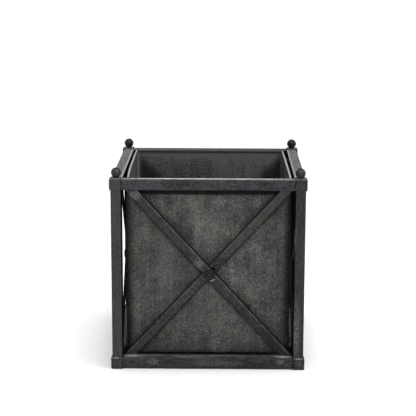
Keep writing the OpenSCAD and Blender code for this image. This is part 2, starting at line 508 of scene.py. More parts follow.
@dataclass(frozen=True)
class CharcoalSteel(Finish):
    """Blackened, waxed steel, rubbed lighter along its upper edges, with a little rust, painted
    highlight lines and painted shade.

    Args:
        contrast: how strongly light and dark differ.
        edge_wear: how light its upper edges are.
        dust_and_top_light: how much dust lies on top, which also paints light on the top faces.
        shadow: how dark the painted shade on the faces towards the planter's middle is.
        lift: how much lighter it all is.
        fade: how much lighter it grows for each metre along each axis.
        scuffs_and_highlights: rubbed places and painted highlights.
        stains_and_shade: dark places, stains and painted shade.
        rusted: rusty places.
        weights: how strong the clouds, the mottle, the fine noise and the streaks are.
    """

    dark: Colour = rgb(25, 24, 27)
    pale: Colour = rgb(60, 58, 64)
    warm: Colour = rgb(64, 62, 59)
    # Rubbed steel, whose colour also paints the highlights
    rubbed_and_highlight: Colour = rgb(150, 148, 146)
    # Dust, whose colour also paints light on the top faces
    dust_and_light_tone: Colour = rgb(138, 137, 138)
    rust: Colour = rgb(128, 98, 82)
    # The colour of dirt and of painted shade
    grime_and_shade: Colour = rgb(7, 7, 8)
    contrast: float = 1.0
    edge_wear: float = 0.85
    dust_and_top_light: float = 0.7
    shadow: float = 0.95
    lift: float = 0.0
    fade: Point = (-0.7, 0.0, 0.15)
    side_wear: float = 0.03
    speck: float = 6 * MM
    scuffs_and_highlights: tuple[Patch, ...] = ()
    stains_and_shade: tuple[Patch, ...] = ()
    rusted: tuple[Patch, ...] = ()
    clouds: Cloud = Cloud(60 * MM)
    mottle: Cloud = Cloud(9 * MM, 5, 0.7)
    fine: Cloud = Cloud(3.2 * MM, 4, 0.7, shift=(2, 7, 3))
    streaks: Cloud = POST_STREAKS
    hue: Cloud = Cloud(26 * MM, 6, 0.8, shift=(4, 6, 1))
    rare: Cloud = Cloud(45 * MM, 2, shift=(3, 1, 7))
    weights: tuple[float, ...] = (0.16, 0.22, 0.38, 0.3)

    def painted_highlights(self, canvas: Canvas) -> Shade | float:
        """Painted highlight lines, none on plain tube."""
        return 0.0

    def dirty(self, canvas: Canvas) -> Shade | float:
        """More dirt and painted shade, none on plain tube."""
        return 0.0

    def tone(self, canvas: Canvas) -> Shade:
        """How light the bare steel is.

        Args:
            canvas: what it is drawn on.

        Returns:
            The lightness, mostly 0 to 1.
        """
        clouds = (self.clouds, self.mottle, self.fine, self.streaks)
        noises = [canvas.noise(cloud).spread() for cloud in clouds]
        tone = sum(noise * weight for noise, weight in zip(noises, self.weights))
        faded = canvas.measured("DOT_PRODUCT", canvas.place, self.fade)
        return (tone - sum(self.weights) / 2) * self.contrast + 0.5 + faded + self.lift

    def edges(self, canvas: Canvas) -> Shade:
        """Where the steel is rubbed on its rounded edges, mostly the upper ones, and where a finish
        paints highlight lines.

        Args:
            canvas: what it is drawn on.

        Returns:
            The share of rubbed steel and painted highlight.
        """
        flat = abs(canvas.out_x).at_least(abs(canvas.out_y)).at_least(abs(canvas.up))
        upper = canvas.up.step(0.75, 0.95) * (1 - self.side_wear) + self.side_wear
        broken = canvas.noise(self.mottle).step(0.34, 0.6)
        edge = flat.step(0.985, 0.85) * broken * upper * self.edge_wear
        return edge.at_least(self.painted_highlights(canvas))

    def dirt(self, canvas: Canvas, scuff_and_highlight: Shade) -> Shade:
        """Painted shade on faces towards the planter's middle, with each finish's own marks and the
        stains.

        Args:
            canvas: what it is drawn on.
            scuff_and_highlight: the share of scuffs and painted highlights, which take no dirt or
                painted shade.

        Returns:
            The share of dirt and painted shade.
        """
        # Painted shade: faces turned towards the planter's middle are darkened
        towards_x = canvas.out_x * canvas.x.sign() * -1.0
        towards_y = canvas.out_y * canvas.y.sign() * -1.0
        inner = towards_x.at_least(towards_y).step(0.15, 0.6) * canvas.up.step(0.6, 0.2)
        dirt = (inner * self.shadow).at_least(self.dirty(canvas))
        stains_and_shade = canvas.patches(self.stains_and_shade) * canvas.noise(self.fine).step(0.3, 0.45)
        return dirt.at_least(stains_and_shade) * (1 - scuff_and_highlight).clamped()

    def surface(self, canvas: Canvas) -> Coat:
        """Clouded charcoal with rubbed edges, dust on top, scuffs and rust specks, plus painted
        highlights, painted light on top and painted shade.

        Args:
            canvas: what it is drawn on.

        Returns:
            The coat.
        """
        mottle = canvas.noise(self.mottle)
        fine = canvas.noise(self.fine)
        light = canvas.mix(self.pale, (canvas.noise(self.hue).step(0.4, 0.6), self.warm))
        specks = canvas.cells(self.speck).step(0.22, 0.08) * mottle.step(0.45, 0.62)
        # Dust on the top faces, partly real dust and partly painted light
        settled_dust_and_light = (mottle * 0.35 + fine * 0.65).step(0.42, 0.57) * self.dust_and_top_light
        edge = self.edges(canvas)
        rust = canvas.noise(self.rare).step(0.62, 0.75) * 0.35 + canvas.patches(self.rusted)
        scuff_and_highlight = canvas.patches(self.scuffs_and_highlights) * fine.step(0.36, 0.56)
        dirt = self.dirt(canvas, scuff_and_highlight)
        colour = canvas.mix(
            self.dark,
            (self.tone(canvas).step(0.1, 0.9), light),
            (specks * 0.28, self.rubbed_and_highlight),
            (canvas.up.step(0.88, 1.0) * settled_dust_and_light, self.dust_and_light_tone),
            (edge, self.rubbed_and_highlight),
            (rust * fine.step(0.5, 0.6), self.rust),
            (scuff_and_highlight, self.rubbed_and_highlight),
            (dirt, self.grime_and_shade),
        )
        roughness = self.roughness + mottle * 0.2 - edge * 0.1 + dirt * 0.2
        height = mottle * 0.6 + fine * 0.5 + canvas.noise(self.clouds) * 0.8
        return colour, roughness, height, (edge * 0.5).at_least(dirt)


@dataclass(frozen=True)
class RailSteel(CharcoalSteel):
    """The same steel on the top rails, with a painted highlight along their inner top edge.

    Args:
        inner: the distance of that edge from the planter's middle.
        shine: how light the painted highlight is.
        line: how far out the light fades, from nothing to full.
        wander: how far its edge wanders.
    """

    inner: float = RAIL_INSIDE
    shine: float = 0.8
    line: Span = (4.5 * MM, 2.0 * MM)
    wander: float = 2 * MM

    def painted_highlights(self, canvas: Canvas) -> Shade:
        """A painted highlight: a light line along the rail's inner top edge.

        Args:
            canvas: what it is drawn on.

        Returns:
            The share of painted highlight.
        """
        reach = abs(canvas.x).at_least(abs(canvas.y))
        edge = (reach - self.inner + canvas.wander(self.mottle, self.wander)).step(*self.line)
        return edge * canvas.up.step(0.3, 0.7) * self.shine


@dataclass(frozen=True)
class BarSteel(CharcoalSteel):
    """The same steel on a brace, with a painted highlight and painted shade lines along its long
    edges.

    Args:
        brace: which bar.
        line: how dark the painted shade line along its upper edge is.
        highlight_strength: how light the painted highlight line inside that edge is.
        ragged: the noise by which the dark lines wander.
        wander: how far they wander.
        highlight_starts: how far inside the edge the painted highlight starts, and highlight_ends
            where it ends.
        line_fades: how far inside the upper edge the painted shade line fades.
        foot_fades: the same for the thin painted shadow line below.
    """

    brace: Brace = OUTER
    line: float = 0.8
    highlight_strength: float = 0.07
    highlight_starts: Span = (2.2 * MM, 3.6 * MM)
    highlight_ends: Span = (6.6 * MM, 5.0 * MM)
    line_fades: Span = (2.8 * MM, 1.2 * MM)
    foot_fades: Span = (2.4 * MM, 0.4 * MM)
    ragged: Cloud = Cloud(12 * MM, 4, 0.7)
    wander: float = 3.4 * MM

    def painted_highlights(self, canvas: Canvas) -> Shade:
        """A painted highlight: a faint light line inside the dark one.

        Args:
            canvas: what it is drawn on.

        Returns:
            The share of painted highlight.
        """
        inset = self.brace.width / 2 - self.brace.above(canvas.along(), canvas.z)
        line = inset.step(*self.highlight_starts) * inset.step(*self.highlight_ends)
        return line * canvas.noise(self.mottle).step(0.3, 0.6) * self.highlight_strength

    def dirty(self, canvas: Canvas) -> Shade:
        """Painted shade: a dark line along the upper edge and a thin shadow line below; the narrow
        faces are darkened too.

        Args:
            canvas: what it is drawn on.

        Returns:
            The share of painted shade.
        """
        above = self.brace.above(canvas.along(), canvas.z)
        wander = canvas.wander(self.ragged, self.wander)
        half = self.brace.width / 2
        upper = (half - above + wander).step(*self.line_fades) * self.line
        lower = (above + half + wander).step(*self.foot_fades) * 0.3
        flat = abs(canvas.out_x).at_least(abs(canvas.out_y))
        return upper.at_least(lower).at_least(flat.step(0.96, 0.8) * 0.85)


@dataclass(frozen=True)
class BossSteel(CharcoalSteel):
    """The same steel on the rivet bosses, with dirt in their grooves.

    Args:
        shift: how far a boss lies beside its side's middle.
        level: the height of its middle.
        moat: the radius between the rivet's head and the ring.
        groove: the radius of the groove round the ring.
        rim: where the disc's edge starts and where it ends.
        moat_fades: how far beside its radius the moat fades, and groove_fades the groove.
    """

    shift: float = 2.66 * MM
    level: float = 220.76 * MM
    moat: float = 4.9 * MM
    groove: float = 10.2 * MM
    rim: Span = (12.6 * MM, 13.6 * MM)
    moat_fades: Span = (1.5 * MM, 0.6 * MM)
    groove_fades: Span = (1.5 * MM, 0.7 * MM)

    def dirty(self, canvas: Canvas) -> Shade:
        """Dark rings between the head, the ring and the disc.

        Args:
            canvas: what it is drawn on.

        Returns:
            The share of dirt.
        """
        along = canvas.along() - self.shift
        rise = canvas.z - self.level
        radius = (along * along + rise * rise) ** 0.5
        moat = abs(radius - self.moat).step(*self.moat_fades)
        groove = abs(radius - self.groove).step(*self.groove_fades)
        return moat.at_least(groove).at_least(radius.step(*self.rim) * 0.9)


@dataclass(frozen=True)
class PatinaSheet(Finish):
    """Dull zinc sheet: clouded grey brown, pale specks, dark where the frame shades it.

    Args:
        half: the distance of the walls from the planter's middle.
        flap: the length of the folded corner flaps inside.
        bottom: the height of the walls' lower edge.
        rail: the height of the top rails' under sides.
        rim: the height of the rolled rim's middle.
        mark_top: how far inside a brace's upper edge its painted shade starts.
        mark_sharp: how far below its lower edge the sharp part of its painted shadow fades.
        mark_soft: the same for the soft part.
        beside: how far from the walls' edges the painted shade beside the posts fades.
        under: how far below the top rail the painted shade there fades, and under_soft its soft
            part.
        low: how far above the walls' lower edge the painted shade there fades.
        lip: where the painted shade below the roll starts, and lip_ends where it ends.
        rim_wear_and_highlight: the heights between which the roll is rubbed bright and carries a
            painted highlight.
        faded: paler places outside.
        painted_light_inside: painted light on the inner walls, which the frame and the walls shade.
        painted_highlight_inside: bright painted light inside.
        stains_and_shadows: darker places outside, stains and painted shadows at the braces.
        rusted: freckled places.
    """

    dark: Colour = rgb(42, 41, 42)
    warm: Colour = rgb(80, 79, 75)
    cool: Colour = rgb(76, 75, 78)
    pale: Colour = rgb(115, 114, 108)
    pale_inside: Colour = rgb(111, 109, 112)
    speck: Colour = rgb(186, 180, 168)
    # Rubbed zinc, whose colour also paints highlights and light
    burnish_and_highlight: Colour = rgb(165, 163, 160)
    # The colour of painted shade on the sheet
    grime_and_shade: Colour = rgb(7, 7, 7)
    rust: Colour = rgb(122, 88, 70)
    half: float = LINER_HALF
    flap: float = LINER_FLAP
    bottom: float = 31 * MM
    rail: float = RAIL_UNDER
    rim: float = RIM_HEIGHT
    mark_top: Span = (3 * MM, 6 * MM)
    mark_sharp: Span = (-8.5 * MM, -5.5 * MM)
    mark_soft: Span = (-18 * MM, -4 * MM)
    beside: Span = (22 * MM, -2 * MM)
    under: Span = (20 * MM, 12 * MM)
    under_soft: Span = (34 * MM, 12 * MM)
    low: Span = (9 * MM, 0.0)
    lip: Span = (438.5 * MM, 440 * MM)
    lip_ends: Span = (444.5 * MM, 442.5 * MM)
    rim_wear_and_highlight: Span = (439 * MM, 442.5 * MM)
    speck_size: float = 4.5 * MM
    clouds: Cloud = Cloud(85 * MM, 4, 0.6, (1, 1, 0.8))
    patchy: Cloud = Cloud(22 * MM, 5, 0.65, shift=(5, 2, 1))
    runs: Cloud = Cloud(15 * MM, 3, stretch=(1, 1, 0.06))
    fine: Cloud = Cloud(3.4 * MM, 4, 0.75)
    hue: Cloud = Cloud(40 * MM, 5, 0.7, (1, 1, 0.5), (1, 8, 2))
    freckles: Cloud = Cloud(5.5 * MM, 3, 0.7, shift=(9, 4, 2))
    ragged: Cloud = Cloud(30 * MM, 3)
    faded: tuple[Patch, ...] = (
        Patch((-165, -187, 240), (26, 9, 160), 0.14),
        Patch((-181, -187, 230), (5, 9, 120), 0.14),
        Patch((27, -187, 390), (20, 9, 16), 0.2),
        Patch((0, -187, 320), (60, 9, 60), 0.1),
        Patch((-140, -187, 226), (7, 9, 70), 0.12),
    )
    # Painted light on the inner walls
    painted_light_inside: tuple[Patch, ...] = (
        Patch((-182, 182, 380), (12, 14, 120), 1.2),
        Patch((-187, 40, 400), (9, 190, 80), 0.5),
        Patch((187, 40, 400), (12, 210, 120), 1.1),
        Patch((0, 187, 433), (500, 9, 9), 0.3),
    )
    # Bright painted light on the inner walls
    painted_highlight_inside: tuple[Patch, ...] = (
        Patch((-182, 182, 385), (12, 14, 110), 0.3),
        Patch((187, 40, 410), (12, 210, 90), 0.5),
    )
    stains_and_shadows: tuple[Patch, ...] = (
        Patch((-85, -187, 389), (24, 9, 16), 0.2),
        Patch((-41, -187, 310), (16, 9, 34), 0.14),
        # Painted shadow in the lower corner where the bars cross
        Patch((-2, -187, 203), (10, 9, 9), 0.5),
        Patch((100, -187, 230), (40, 9, 60), 0.1),
        # A painted shadow beside a brace's upper edge
        Patch((96, -187, 141), (6, 9, 6), 0.9),
    )
    rusted: tuple[Patch, ...] = (
        Patch((171, -187, 305), (14, 9, 50)),
        Patch((136, -187, 195), (24, 9, 40)),
        Patch((-160, -187, 170), (22, 9, 50), 0.6),
    )

    def bar_shade_and_shadow(self, canvas: Canvas, brace: Brace) -> Shade:
        """Painted shade behind a brace, with a painted shadow below it.

        Args:
            canvas: what it is drawn on.
            brace: which bar.

        Returns:
            1 behind the brace, fading out below it.
        """
        along = canvas.out_x * canvas.y - canvas.out_y * canvas.x
        inset = brace.above(along, canvas.z) + brace.width / 2
        upper = inset.step(*(brace.width - inside for inside in self.mark_top))
        sharp = inset.step(*self.mark_sharp) * 0.42
        return upper * (sharp + inset.step(*self.mark_soft) * 0.2)

    def dirt(self, canvas: Canvas, outside: Shade) -> Shade:
        """Painted shade outside beside the posts, under the top rail, at the foot and behind the
        braces, and inside in the corners and under the roll.

        Args:
            canvas: what it is drawn on.
            outside: 1 on the walls' outer faces, 0 on their inner ones.

        Returns:
            The share of painted shade, 0 to 1.
        """
        edge = self.half - abs(canvas.x).at_most(abs(canvas.y))
        wander = canvas.wander(self.ragged, 8 * MM)
        sides = (edge + wander * 0.6).step(*self.beside)
        below = self.rail - canvas.z + wander * 0.3
        top = below.step(*self.under).at_least(below.step(*self.under_soft) * 0.35)
        foot = (canvas.z - self.bottom + wander * 0.5).step(*self.low) * 0.35
        outer = sides.at_least(top).at_least(foot)
        for brace in (OUTER, INNER):
            outer = outer.at_least(self.bar_shade_and_shadow(canvas, brace))
        # Painted shade inside: in the corners, deeper lower down, and under the roll at the back
        corner = edge - (self.rim - canvas.z) * 1.05 + wander * 2
        folded = edge.step(self.flap + 1 * MM, self.flap)
        inner = corner.step(20 * MM, -26 * MM) * (1 - folded) * edge.step(100 * MM, 45 * MM)
        back = canvas.y.step(0.1, 0.15)
        lip = canvas.z.step(*self.lip) * canvas.z.step(*self.lip_ends)
        inner = (inner * (back * 0.52 + 0.2)).at_least(lip * back * 0.75)
        return outer * outside + inner * (1 - outside)

    def tone(self, canvas: Canvas, outside: Shade) -> Shade:
        """How light the sheet is before specks, rust and painted shade, with painted light in it.

        Args:
            canvas: what it is drawn on.
            outside: 1 on the walls' outer faces, 0 on their inner ones.

        Returns:
            The lightness, mostly 0 to 1.
        """
        coarse = canvas.noise(self.clouds).step(0.32, 0.68)
        runs = canvas.noise(self.runs).step(0.32, 0.68)
        tone = coarse * 0.2 + canvas.noise(self.patchy).spread() * 0.14 + runs * 0.16
        # Painted light: the sheet grows lighter higher up
        tone = tone + canvas.noise(self.fine).spread() * 0.6 + canvas.z * 0.25 + 0.03
        marks = canvas.patches(self.faded) - canvas.patches(self.stains_and_shadows)
        # Painted shade: outside, darker towards the left and right
        outer = marks - abs(canvas.x) - 0.08
        # Painted light inside: lighter near the top and in the listed places
        upper = canvas.z.step(395 * MM, 437 * MM) * 0.2
        inner = canvas.wander(self.fine, 0.5) + upper + canvas.patches(self.painted_light_inside)
        return tone + outer * outside + inner * (1 - outside)

    def surface(self, canvas: Canvas) -> Coat:
        """Clouds, upright runs, fine grain, pale specks, a few rust freckles, painted shade, and
        painted light inside and on the roll.

        Args:
            canvas: what it is drawn on.

        Returns:
            The coat.
        """
        patchy = canvas.noise(self.patchy)
        fine = canvas.noise(self.fine)
        outside = canvas.measured("DOT_PRODUCT", canvas.facing, canvas.place).step(0.02, 0.1)
        inside = 1 - outside
        tone = self.tone(canvas, outside)
        hue = canvas.noise(self.hue).step(0.38, 0.62) * (outside * 0.4 + 0.6)
        middle = canvas.mix(self.cool, (hue, self.warm))
        pale = canvas.mix(self.pale_inside, (outside, self.pale))
        dots = canvas.cells(self.speck_size).step(0.24, 0.1) * patchy.step(0.4, 0.58)
        rusty = canvas.noise(self.clouds).step(0.45, 0.6) * 0.4 + canvas.patches(self.rusted)
        rusty = rusty.clamped() * canvas.noise(self.freckles).step(0.63, 0.7)
        # Painted light: bright places on the inner walls
        highlit_inside = canvas.patches(self.painted_highlight_inside) * inside * fine.step(0.35, 0.55)
        side = (abs(canvas.x) - abs(canvas.y)).step(-2 * MM, 2 * MM)
        # The roll's top, mostly on the side walls: partly rubbed, partly a painted highlight
        rim = canvas.z.step(*self.rim_wear_and_highlight) * canvas.up.step(0.0, 0.6)
        rim = rim * (side + canvas.y.step(0.0, 0.1) * 0.1).at_most(1.0)
        dirt = self.dirt(canvas, outside) * (1 - rim) * 0.93
        colour = canvas.mix(
            self.dark,
            (tone.step(0.12, 0.62), middle),
            (tone.step(0.5, 0.95), pale),
            (dots * (0.36 - outside * 0.08), self.speck),
            (rusty, self.rust),
            (fine.step(0.48, 0.34) * inside * 0.45, self.dark),
            (highlit_inside, self.burnish_and_highlight),
            (rim * patchy.step(0.25, 0.45), self.burnish_and_highlight),
            (dirt, self.grime_and_shade),
        )
        roughness = self.roughness + fine * 0.2 - rim * 0.15
        metal = (dirt * 0.9).at_least(rim * 0.4).at_least(0.15)
        return colour, roughness, (fine + patchy) * 0.8, metal


@dataclass(frozen=True)
class BrightWire(Finish):
    """Drawn wire, faintly clouded."""

    light: Colour = rgb(150, 150, 150)
    dull: Colour = rgb(105, 104, 102)
    clouds: Cloud = Cloud(4 * MM, 3)

    def surface(self, canvas: Canvas) -> Coat:
        """Grey steel, clouded.

        Args:
            canvas: what it is drawn on.

        Returns:
            The coat.
        """
        marks = canvas.noise(self.clouds)
        colour = canvas.mix(self.dull, (marks.spread(), self.light))
        return colour, self.roughness + marks * 0.1, marks, 0.9


@dataclass(frozen=True)
class StudioFloor(Finish):
    """Matt white floor, with hardly any cloud in it."""

    shade: Colour = (0.62, 0.62, 0.62, 1.0)
    bright: Colour = (0.64, 0.64, 0.64, 1.0)
    clouds: Cloud = Cloud(0.5, 2)

    def surface(self, canvas: Canvas) -> Coat:
        """Plain white."""
        cloud = canvas.noise(self.clouds)
        return canvas.mix(self.shade, (cloud, self.bright)), cloud * 0.02 + 0.9, cloud * 0.01, 0.0


# Distance of the finials from the planter's middle on either axis, in millimetres
FINIALS_AT = (-207.5, 207.5)


class Look(Enum):
    """The finishes on the planter."""

    TUBE = CharcoalSteel(
        "charcoal_post",
        warm=rgb(62, 61, 60),
        roughness=0.42,
        edge_wear=0.3,
        fade=(-0.7, 0.0, 0.25),
        scuffs_and_highlights=(
            Patch((203, -220, 95), (13, 9, 100), 0.2),
            # A painted highlight along the right post's inner edge
            Patch((196, -218, 307), (3.5, 5, 44), 0.5),
        ),
        rusted=(
            Patch((200, -220, 88), (9, 9, 42)),
            Patch((198, -220, 330), (7, 9, 20), 0.5),
        ),
    )
    RAIL = RailSteel(
        "charcoal_rail",
        roughness=0.42,
        warm=rgb(61, 59, 61),
        rubbed_and_highlight=rgb(178, 176, 175),
        edge_wear=0.05,
        dust_and_top_light=0.5,
        streaks=RAIL_STREAKS,
        contrast=2.1,
        # A painted highlight on the front rail's top face
        scuffs_and_highlights=(Patch((0, -205, 445), (270, 7, 4), 1.5),),
        # Painted shade on the front rail's rounded top edge and along the lower edge of its front
        # face
        stains_and_shade=(
            Patch((0, -219, 445), (400, 8, 4), 0.55),
            Patch((0, -220, 419.5), (600, 9, 2.4), 0.9),
        ),
    )
    # A darker copy of the rail steel for the back rail, with no dust or top light: painted shade
    BACK_RAIL = RailSteel(
        "charcoal_back_rail",
        edge_wear=0.0,
        dust_and_top_light=0.0,
        shine=0.12,
        lift=-0.15,
        streaks=RAIL_STREAKS,
    )
    LOW_TUBE = CharcoalSteel(
        "charcoal_low_tube",
        edge_wear=0.0,
        dust_and_top_light=0.2,
        lift=-0.06,
        streaks=RAIL_STREAKS,
        contrast=2.5,
        scuffs_and_highlights=(
            Patch((-175, -208, 28), (24, 16, 2), 0.8),
            Patch((174, -206, 28), (30, 18, 3)),
            Patch((166, -220, 17), (13, 6, 10), 0.35),
            Patch((-40, -215, 28), (60, 9, 2), 0.3),
            Patch((-125, -220, 17), (22, 9, 10), 0.3),
            Patch((20, -220, 14), (90, 9, 9), 0.15),
        ),
        # Painted shade along the bottom rail's front top edge, under the overhang
        stains_and_shade=(Patch((0, -218, 28.5), (300, 9, 3), 0.5),),
        rusted=(
            Patch((81, -220, 27), (5, 9, 5), 2.0),
            Patch((185, -220, 18), (20, 9, 16), 0.5),
        ),
    )
    FORGED = CharcoalSteel(
        "charcoal_forged", roughness=0.44, edge_wear=0.2, shadow=0.35, lift=0.06
    )
    FOOT = CharcoalSteel(
        "charcoal_foot",
        edge_wear=0.0,
        dust_and_top_light=0.2,
        shadow=0.35,
        contrast=1.5,
        # Thin light lines along the foot blocks' top front edges: partly scuffs, partly painted
        # highlight
        scuffs_and_highlights=(
            Patch((-211, -223, 26.5), (10, 9, 1.6)),
            Patch((209, -223, 18), (14, 9, 12), 0.12),
            Patch((209, -223, 26.5), (12, 9, 2), 0.6),
        ),
    )
    TURNED = CharcoalSteel(
        "charcoal_turned",
        edge_wear=0.0,
        dust_and_top_light=0.0,
        shadow=0.1,
        lift=-0.1,
        fade=(0.0, -0.6, 0.0),
        # Painted shade: the finials' tops are darkened
        stains_and_shade=tuple(
            Patch((x, y, 474), (14, 14, 16), 0.75) for x in FINIALS_AT for y in FINIALS_AT
        ),
    )
    BOSS = BossSteel("charcoal_boss", roughness=0.45, edge_wear=0.3, shadow=0.3)
    OUTER_BAR = BarSteel(
        "charcoal_outer_bar",
        pale=rgb(62, 60, 62),
        roughness=0.45,
        lift=-0.1,
        contrast=1.5,
        brace=OUTER,
        highlight_strength=0.22,
        streaks=BAR_STREAKS,
        scuffs_and_highlights=(
            Patch((-22, -203, 246), (17, 9, 14), 0.3),
            Patch((7, -203, 208.5), (11, 9, 4.5), 1.3),
            Patch((-168, -203, 404), (20, 9, 14), 0.4),
        ),
        stains_and_shade=(
            Patch((-186, -203, 398), (9, 9, 9)),
            Patch((158, -203, 64), (55, 9, 55), 0.2),
            Patch((110, -203, 115), (60, 9, 60), 0.05),
        ),
        rusted=(
            Patch((-168, -203, 402), (22, 9, 16), 0.1),
            Patch((10, -203, 208), (7, 9, 4)),
        ),
    )
    INNER_BAR = BarSteel(
        "charcoal_inner_bar",
        pale=rgb(68, 67, 66),
        roughness=0.45,
        contrast=1.6,
        brace=INNER,
        fade=(0.6, 0.0, 0.5),
        streaks=BAR_STREAKS,
        stains_and_shade=(
            Patch((26, -199, 247), (30, 9, 24), 0.35),
            # Painted shade in the upper corner where the bars cross
            Patch((10, -199, 233), (9, 9, 7), 1.2),
            Patch((-120, -199, 100), (90, 9, 90), 0.16),
        ),
    )
    SHEET = PatinaSheet("patina_sheet")
    WIRE = BrightWire("drawn_wire", roughness=0.35)


Paint = dict[Look, bpy.types.Material]

# The finish of each kind of node, by how its name starts
KINDS = {
    "corner_block": Look.FORGED,
    "foot_block": Look.FOOT,
    "finial": Look.TURNED,
    "top_rail_back": Look.BACK_RAIL,
    "top_rail": Look.RAIL,
    "bottom_rail": Look.LOW_TUBE,
    "cross_tube": Look.LOW_TUBE,
    "outer_brace": Look.OUTER_BAR,
    "inner_brace": Look.INNER_BAR,
    "rivet_boss": Look.BOSS,
    "liner": Look.SHEET,
    "rim_wire": Look.WIRE,
}


# -------------------------------------------------------------------- modelling


def placed(name: str, data: bpy.types.ID) -> bpy.types.Object:
    """Puts a new object into the scene.

    Args:
        name: its name.
        data: its mesh, light or camera.

    Returns:
        The object.
    """
    made = bpy.data.objects.new(name, data)
    bpy.context.scene.collection.objects.link(made)
    return made


class Mesh:
    """A mesh that is being modelled, and the piece that it becomes."""

    bead_sides = 8
    rings_per_ripple = 3
    # Two waves along a bead: how fast, how deep, and how far the seed shifts each
    bead_waves = ((2.1, 0.16, 1), (0.7, 0.08, 3))
    # The share of its thickness that a bead has at its ends, and how fast it grows inwards
    bead_end = 0.25
    bead_growth = 4
    # Vertices closer than this become one
    merge = 0.01 * MM

    def __init__(self) -> None:
        """Starts an empty mesh."""
        self.bm = bmesh.new()

    def sweep(
        self, ring: Sequence[bmesh.types.BMVert], steps: Sequence[Vector]
    ) -> list[bmesh.types.BMVert]:
        """Extrudes a chain or ring of vertices along a line of steps.

        Args:
            ring: vertices joined by edges.
            steps: how far each next copy lies from the last one.

        Returns:
            The vertices of the last copy.
        """
        edges = {e for v in ring for e in v.link_edges if e.other_vert(v) in ring}
        last = list(ring)
        for step in steps:
            made = bmesh.ops.extrude_edge_only(self.bm, edges=list(edges))["geom"]
            last = [g for g in made if isinstance(g, bmesh.types.BMVert)]
            edges = {g for g in made if isinstance(g, bmesh.types.BMEdge)}
            edges = {e for e in edges if all(v in last for v in e.verts)}
            bmesh.ops.translate(self.bm, verts=last, vec=step)
        return last

    def ring(self, sides: int, radius: float, place: Matrix) -> list[bmesh.types.BMVert]:
        """Draws a ring of vertices.

        Args:
            sides: its number of sides.
            radius: its radius.
            place: where it lies and how it is turned.

        Returns:
            The vertices.
        """
        made = bmesh.ops.create_circle(self.bm, segments=sides, radius=radius)["verts"]
        bmesh.ops.transform(self.bm, verts=made, matrix=place)
        return list(made)

    def cut(self, point: Point, normal: Point) -> None:
        """Cuts away all that lies beyond a plane.

        Args:
            point: a point of the plane.
            normal: the direction of what goes.
        """
        geom = self.bm.verts[:] + self.bm.edges[:] + self.bm.faces[:]
        bmesh.ops.bisect_plane(
            self.bm, geom=geom, plane_co=point, plane_no=normal, clear_outer=True
        )

    def close(self) -> None:
        """Fills every open end."""
        open_edges = [edge for edge in self.bm.edges if edge.is_boundary]
        bmesh.ops.holes_fill(self.bm, edges=open_edges, sides=0)

    def bead(self, start: Vector, end: Vector, radius: float, ripple: float, seed: float) -> None:
        """Lays one rippled bead of weld or solder.

        Args:
            start: where the bead starts.
            end: where it ends.
            radius: its thickness, halved.
            ripple: the length of one ripple.
            seed: a number that makes the beads differ.
        """
        run = end - start
        count = max(4, round(run.length / ripple) * self.rings_per_ripple)
        aim = Vector((0, 0, 1)).rotation_difference(run.normalized()).to_matrix().to_4x4()
        rings = [self.ring(self.bead_sides, radius, Matrix.Translation(start) @ aim)]
        for _ in range(count):
            rings.append(self.sweep(rings[-1], [run / count]))
        for index, loop in enumerate(rings):
            share = index / count
            centre = start + run * share
            taper = min(1.0, self.bead_growth * min(share, 1 - share) + self.bead_end)
            waves = (
                deep * math.sin(index * fast + seed * far) for fast, deep, far in self.bead_waves
            )
            wave = sum(waves, 1)
            for vert in loop:
                vert.co = centre + (vert.co - centre) * taper * wave
        for loop in (rings[0], rings[-1]):
            bmesh.ops.contextual_create(self.bm, geom=loop)

    def finished(self, name: str) -> bpy.types.Mesh:
        """Ends the modelling.

        Args:
            name: the name of its data.

        Returns:
            The data.
        """
        data = bpy.data.meshes.new(name)
        self.bm.to_mesh(data)
        self.bm.free()
        return data

    def join(self, other: "Mesh") -> None:
        """Takes in another mesh, which ends there.

        Args:
            other: the other mesh.
        """
        data = other.finished("joined")
        self.bm.from_mesh(data)
        bpy.data.meshes.remove(data)

    def shaped(self, move: Callable[[Vector], Vector]) -> None:
        """Moves every vertex to where a rule puts it."""
        for vert in self.bm.verts:
            vert.co = move(vert.co)

    def piece(
        self,
        name: str,
        body: Body,
        material: bpy.types.Material,
        turn: Matrix | None = None,
        replaces: Iterable[str] = (),
    ) -> None:
        """Ends the modelling and makes the piece.

        Args:
            name: the piece's name.
            body: the body that it moves with.
            material: its material.
            turn: a turn about the planter's middle.
            replaces: the nodes that it stands for.
        """
        bmesh.ops.remove_doubles(self.bm, verts=self.bm.verts, dist=self.merge)
        bmesh.ops.transform(self.bm, verts=self.bm.verts, matrix=turn or Matrix())
        bmesh.ops.recalc_face_normals(self.bm, faces=self.bm.faces)
        for face in self.bm.faces:
            face.smooth = True
        for edge in self.bm.edges:
            edge.smooth = len(edge.link_faces) != 2 or edge.calc_face_angle() < CREASE
        data = self.finished(name)
        made = placed(name, data)
        data.materials.append(material)
        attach(made, body.value)
        nodes = list(replaces)
        if nodes:
            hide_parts(*nodes)
        log.info("made %s", name)


# --------------------------------------------------------------------- the frame


